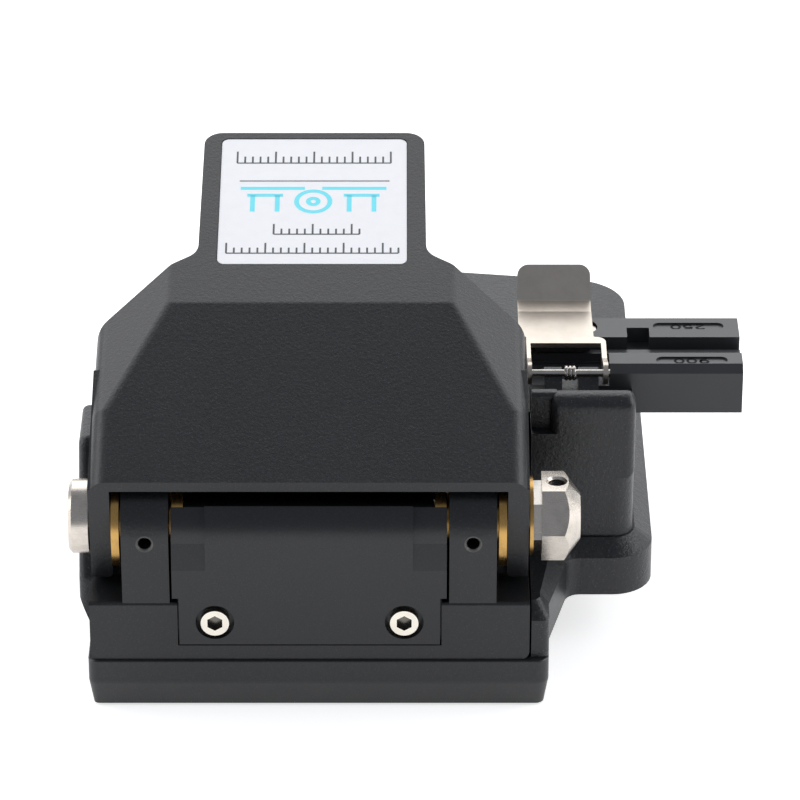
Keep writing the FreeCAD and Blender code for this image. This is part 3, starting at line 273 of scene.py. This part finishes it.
def rubber(name, base):
    """Matt black rubber."""
    m = Surface(name)
    fine = m.noise(2600.0, roughness=0.6)
    m.colour(m.ramp(fine, [(0.3, grey(base * 0.8)), (0.7, grey(base * 1.3))]))
    m.rough(m.spread(fine, 0.72, 0.9))
    m.bump(fine, 0.01)
    return m.material


def printed(name, colour, rough=0.38, gloss=0.5):
    """Printed foil or ink, with a hint of mottling."""
    m = Surface(name)
    mottle = m.noise(500.0, detail=2.0, roughness=0.5)
    dim = tuple(c * 0.97 for c in colour)
    m.colour(m.ramp(mottle, [(0.3, dim), (0.7, colour)]))
    m.rough(m.spread(mottle, rough - 0.04, rough + 0.04))
    m.set(Specular_IOR_Level=gloss)
    return m.material


CAST = cast_coat("cast_black", base=0.011, grain=3200.0, depth=0.04, rough=0.34, glint_grey=0.07)
GRAINED = cast_coat("cast_black_grained", base=0.0135, grain=2600.0, depth=0.09, rough=0.33, glint_grey=0.1)
BLOCK = cast_coat("block_black", base=0.0135, grain=3000.0, depth=0.03, rough=0.34, glint_grey=0.06,
                  lighter_places=hole_rims)
PLATE = cast_coat("plate_black", base=0.019, grain=3600.0, depth=0.014, rough=0.33, glint_grey=0.07,
                  lighter_places=painted_bevel_sheen)
COVER = cast_coat("cover_black", base=0.014, grain=4200.0, depth=0.012, rough=0.3, glint_grey=0.05)
PLASTIC = moulded("moulded_black", base=0.035, rough=0.3, depth=0.004)
STEEL = turned_metal("steel", (0.56, 0.53, 0.49), rough=0.24)
BRIGHT = turned_metal("bright_steel", (0.70, 0.64, 0.57), rough=0.26, dirt=0.08)
PLATED = turned_metal("plated_steel", (0.88, 0.82, 0.72), rough=0.24, dirt=0.04, socket_shade=painted_socket_shade)
DARK_STEEL = turned_metal("black_oxide_steel", (0.035, 0.035, 0.04), rough=0.4)
SLEEVE = turned_metal("black_sleeve", (0.02, 0.021, 0.023), rough=0.36)
BRASS = turned_metal("brass", (0.58, 0.35, 0.115), rough=0.28, streak=(60.0, 1.0, 1.0))
CLAMP = turned_metal("machined_aluminium", (0.62, 0.62, 0.63), rough=0.32, streak=(1.0, 25.0, 25.0),
                     dirt=0.05)
SHEET = turned_metal("rolled_sheet", (0.62, 0.56, 0.49), rough=0.31, streak=(1.0, 30.0, 30.0), depth=0.002,
                     dirt=0.04)
RUBBER = rubber("rubber_black", base=0.018)
LABEL = printed("label_white", (0.96, 0.96, 0.985))
INK = printed("ink_grey", (0.07, 0.07, 0.075))
CYAN = printed("ink_cyan", (0.17, 0.84, 0.97))
NUMERAL = printed("numeral_dark", (0.008, 0.008, 0.009), rough=0.62, gloss=0.12)

FINISHES = {
    CAST: ("lever_cover",),
    GRAINED: ("main_housing",),
    BLOCK: ("hinge_block",),
    PLATE: ("base_plate",),
    COVER: ("rear_cover",),
    PLASTIC: ("fibre_adapter",),
    BRASS: ("inner_bushes", "side_washers", "outer_washer", "arm_bushes"),
    BRIGHT: ("hinge_axle", "lock_collar", "base_magnets"),
    PLATED: ("cover_screws",),
    STEEL: ("jam_nut", "lever_springs", "guide_rails", "top_plate_screws", "adapter_screws", "lid_pin",
            "lid_spring", "striker_plates", "clamp_guide_screws", "anvil_pin", "anvil_arm", "blade_shaft",
            "blade_wheel"),
    DARK_STEEL: ("grub_screws", "plate_screws"),
    SLEEVE: ("spring_sleeve",),
    CLAMP: ("top_plate", "lower_clamps", "anvil_bracket", "upper_clamp_bar", "blade_carriage"),
    RUBBER: ("rubber_mat", "lower_pads", "upper_pads", "anvil_tip", "lid_pad"),
    SHEET: ("clip_lid",),
    LABEL: ("label_plate",),
}

for finish, names in FINISHES.items():
    for name in names:
        mesh = nodes[name].data
        mesh.materials.clear()
        mesh.materials.append(finish)

# Width of the rounding on sharp edges, in millimetres.
SOFT_EDGES = {
    "lever_cover": 0.7,
    "rear_cover": 0.25,
    "hinge_block": 0.25,
    "fibre_adapter": 0.2,
    "clip_lid": 0.12,
    "lock_collar": 0.15,
    "hinge_axle": 0.15,
}
SHARP_FROM = 35.0        # degrees between two faces


def soften(name, width):
    """Small rounding on a part's sharp edges."""
    bevel = nodes[name].modifiers.new("soft_edges", "BEVEL")
    bevel.width = width * MM
    bevel.segments = 3
    bevel.limit_method = "ANGLE"
    bevel.angle_limit = math.radians(SHARP_FROM)
    bevel.use_clamp_overlap = False
    bevel.harden_normals = True


for name, width in SOFT_EDGES.items():
    soften(name, width)

# ---- pieces made here ---------------------------------------------------------------------
PRINT_THICKNESS = 0.012


def add_piece(name, mesh, finish, body):
    """A mesh as a piece that rides on a body."""
    mesh.materials.append(finish)
    piece = bpy.data.objects.new(name, mesh)
    bpy.context.scene.collection.objects.link(piece)
    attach(piece, body)


def sides(points, width):
    """Left and right side of a drawn line of that width through points."""
    last = len(points) - 1
    left, right = [], []
    for i, point in enumerate(points):
        ahead = points[min(i + 1, last)] - points[max(i - 1, 0)]
        aside = Vector((-ahead.y, ahead.x)).normalized() * width / 2
        left.append(point + aside)
        right.append(point - aside)
    return left, right


def drawn_lines(name, strokes, width, finish, body, place):
    """Thin printed strokes; place(u, v, w) gives the point on the surface, raised by w."""
    mesh = bmesh.new()
    for points in strokes:
        rows = []
        for pair in zip(*sides(points, width)):
            rows.append([mesh.verts.new(place(p.x, p.y, w)) for p in pair for w in (0.0, PRINT_THICKNESS)])
        for (a0, a1, b0, b1), (c0, c1, d0, d1) in zip(rows, rows[1:]):
            for quad in ((a1, c1, d1, b1), (a0, b0, d0, c0), (a0, c0, c1, a1), (b0, b1, d1, d0)):
                mesh.faces.new(quad)
        for a0, a1, b0, b1 in (rows[0], rows[-1]):
            mesh.faces.new((a0, a1, b1, b0))
    bmesh.ops.recalc_face_normals(mesh, faces=mesh.faces)
    data = bpy.data.meshes.new(name)
    mesh.to_mesh(data)
    mesh.free()
    add_piece(name, data, finish, body)


def oval(u, v, across, up, start=0.0, sweep=360.0, steps=36):
    """Points on an oval or a part of one, with its half width and half height."""
    angles = [math.radians(start + sweep * i / steps) for i in range(steps + 1)]
    return [Vector((u + across * math.cos(a), v + up * math.sin(a))) for a in angles]


def line(*corners):
    """Points of a straight or angled line."""
    return [Vector(c) for c in corners]


# The label's place from the hinge, with the lever shut.
label_points = [LEVER_TURN.transposed() @ (vert.co - HINGE) for vert in nodes["label_plate"].data.vertices]
LABEL_TOP = max(point.z for point in label_points)
LABEL_START = min(point.y for point in label_points)
LABEL_END = max(point.y for point in label_points)
LABEL_MIDDLE = Vector((0.0, (LABEL_START + LABEL_END) / 2, LABEL_TOP))

# The label's plain artwork, in millimetres from the middle of the label: v runs to the lever's tip.
RULE_V = 5.1             # a thin rule
FIBRE_V = 3.2            # the diagram's fibre, clamps, blade wheel and the clamps' feet
CLAMP_V = 1.4
WHEEL_V = -0.2
FOOT_V = -2.8
TICK_STEP = 1.25         # one scale division
TALL_EVERY = 5           # divisions from one tall tick to the next


def on_label(u, v, w):
    """Point on the label, raised by w."""
    return HINGE + LEVER_TURN @ (LABEL_MIDDLE + Vector((u, v, w)) * MM)


def diagram():
    """Strokes of a fibre, two clamps on their feet and a blade wheel between them."""
    strokes = [oval(0.0, WHEEL_V, radius, radius) for radius in (2.7, 0.8)]
    for side in (-1, 1):
        strokes.append(line((side * 11.8, FIBRE_V), (side * 1.4, FIBRE_V)))
        strokes.append(line((side * 10.7, CLAMP_V), (side * 4.9, CLAMP_V)))
        strokes += [line((side * foot, FOOT_V), (side * foot, CLAMP_V)) for foot in (9.8, 5.8)]
    return strokes


def scale(first, last, foot, short, tall):
    """Row of graduation ticks on a base line."""
    count = round((last - first) / TICK_STEP)
    rows = [line((first, foot), (last, foot))]
    for i in range(count + 1):
        u = first + i * TICK_STEP
        rows.append(line((u, foot), (u, foot + (short if i % TALL_EVERY else tall))))
    return rows


rule = [line((-12.0, RULE_V), (12.3, RULE_V))]
scales = (scale(-12.5, 12.5, foot=9.8, short=1.7, tall=3.0)
          + scale(-6.25, 7.5, foot=-8.6, short=1.4, tall=2.6)
          + scale(-13.75, 13.75, foot=-13.4, short=1.4, tall=2.6))
drawn_lines("label_rule", rule, width=0.26, finish=INK, body="lever", place=on_label)
drawn_lines("label_diagram", diagram(), width=0.78, finish=CYAN, body="lever", place=on_label)
drawn_lines("label_scales", scales, width=0.3, finish=INK, body="lever", place=on_label)

# Numbers in the adapter's two recesses: the fibre sizes that it takes, in micrometres.
ADAPTER_LOW, ADAPTER_HIGH = box_mm("fibre_adapter")
RECESS_DEPTH = 0.3
DIGIT_PITCH = 2.0
DIGIT_STROKE = 0.4
NUMBER_X = ADAPTER_HIGH.x - 8.1
DIGITS = {
    "0": [oval(0.0, 0.0, 0.66, 0.66)],
    "2": [oval(0.0, 0.28, 0.62, 0.38, 165.0, -195.0, 18) + line((-0.62, -0.66), (0.68, -0.66))],
    "5": [line((0.6, 0.66), (-0.52, 0.66), (-0.58, 0.08)) + oval(0.0, -0.22, 0.64, 0.44, 140.0, -290.0, 20)],
    "9": [oval(0.0, 0.25, 0.62, 0.41), line((0.62, 0.25), (0.54, -0.25), (0.2, -0.58), (-0.44, -0.66))],
}


def number(name, digits, y):
    """Three digits in a recess on top of the adapter, read from the thumb tab's side."""
    def on_adapter(u, v, w):
        return Vector((NUMBER_X - u, y - v, ADAPTER_HIGH.z - RECESS_DEPTH + w)) * MM

    strokes = []
    for i, digit in enumerate(digits):
        shift = Vector((DIGIT_PITCH * (i - 1), 0.0))
        strokes += [[point + shift for point in stroke] for stroke in DIGITS[digit]]
    drawn_lines(name, strokes, DIGIT_STROKE, NUMERAL, "base", on_adapter)


number("number_near", "900", ADAPTER_LOW.y + 2.6)
number("number_far", "250", ADAPTER_HIGH.y - 2.5)

# ---- floor, lights and camera -------------------------------------------------------------
FLOOR_CORNERS = [(-4, -3, 0), (4, -3, 0), (4, 5, 0), (-4, 5, 0)]
FLOOR_GLOW = 0.62        # the floor's own light, which only the camera sees
MIRRORED_GLOW = 0.45     # and the one that only reflections see
SKY_COLOUR = (0.9, 0.96, 1.08, 1.0)
SKY_GLOW = 0.27


def paper():
    """White floor that glows a little for the camera and for reflections."""
    m = Surface("floor_paper")
    m.set(Base_Color=(0.88, 0.88, 0.88, 1.0), Roughness=0.9)
    rays = m.node("LightPath").outputs
    mirrored = m.node("Math", {0: rays["Is Glossy Ray"], 1: MIRRORED_GLOW}, operation="MULTIPLY").outputs[0]
    strength = m.add(mirrored, rays["Is Camera Ray"], FLOOR_GLOW)
    glow = m.node("Emission", {"Color": (1.0, 1.0, 1.0, 1.0), "Strength": strength})
    total = m.node("AddShader", {0: m.shader.outputs[0], 1: glow.outputs[0]})
    m.tree.links.new(total.outputs[0], m.out.inputs["Surface"])
    return m.material


floor_mesh = bpy.data.meshes.new("floor")
floor_mesh.from_pydata(FLOOR_CORNERS, [], [(0, 1, 2, 3)])
floor_mesh.materials.append(paper())
floor = bpy.data.objects.new("floor", floor_mesh)
bpy.context.scene.collection.objects.link(floor)


def point_at(thing, place, direction):
    """Puts a light or camera at a place, looking in a direction."""
    thing.location = place
    thing.rotation_euler = direction.to_track_quat("-Z", "Y").to_euler()
    bpy.context.scene.collection.objects.link(thing)


def soft_box(name, place, width, height, watts):
    """Rectangular studio light turned towards the object."""
    light = bpy.data.lights.new(name, "AREA")
    light.shape = "RECTANGLE"
    light.size = width
    light.size_y = height
    light.energy = watts
    point_at(bpy.data.objects.new(name, light), place, LIT_POINT - Vector(place))


LIT_POINT = Vector((0.01, 0.0, 0.03))
soft_box("far_light", (0.0, 1.15, 0.88), width=3.2, height=1.3, watts=23.0)
soft_box("left_light", (-0.95, 0.0, 0.5), width=0.9, height=0.8, watts=5.5)
soft_box("right_light", (0.95, 0.0, 0.5), width=0.9, height=0.8, watts=6.5)

# The world is pale for the camera, and a dim sky for the light and the reflections.
world = bpy.data.worlds.new("studio")
bpy.context.scene.world = world
world.use_nodes = True
tree = world.node_tree
tree.nodes.clear()
sky = add_node(tree, "Background", {"Color": SKY_COLOUR, "Strength": SKY_GLOW})
backdrop = add_node(tree, "Background", {"Strength": 1.0})
seen = add_node(tree, "LightPath").outputs["Is Camera Ray"]
blend = add_node(tree, "MixShader", {0: seen, 1: sky.outputs[0], 2: backdrop.outputs[0]})
add_node(tree, "OutputWorld", {"Surface": blend.outputs[0]})

bpy.context.scene.view_settings.view_transform = "Standard"

# The photograph looks along +Y from behind and above, with a long lens.
ELEVATION = math.radians(29.0)
LENS_PIXELS = 4800.0     # focal length in pixels of the picture
PICTURE_PIXELS = 800.0
SENSOR = 36.0
VIEW_X = 14.0            # the line of sight's place across the object, in millimetres
DISTANCE = 0.750         # from the base plate's rear foot, in metres
RISE = 0.0472            # how far the line of sight passes above that foot, in metres

ahead = Vector((0.0, math.cos(ELEVATION), -math.sin(ELEVATION)))
above = Vector((0.0, math.sin(ELEVATION), math.cos(ELEVATION)))
rear_foot = Vector((VIEW_X, box_mm("base_plate")[0].y, 1.0)) * MM
camera_data = bpy.data.cameras.new("camera")
camera_data.sensor_width = SENSOR
camera_data.lens = SENSOR * LENS_PIXELS / PICTURE_PIXELS
camera_data.clip_start = 0.01
camera = bpy.data.objects.new("camera", camera_data)
point_at(camera, rear_foot - ahead * DISTANCE + above * RISE, ahead)
bpy.context.scene.camera = camera
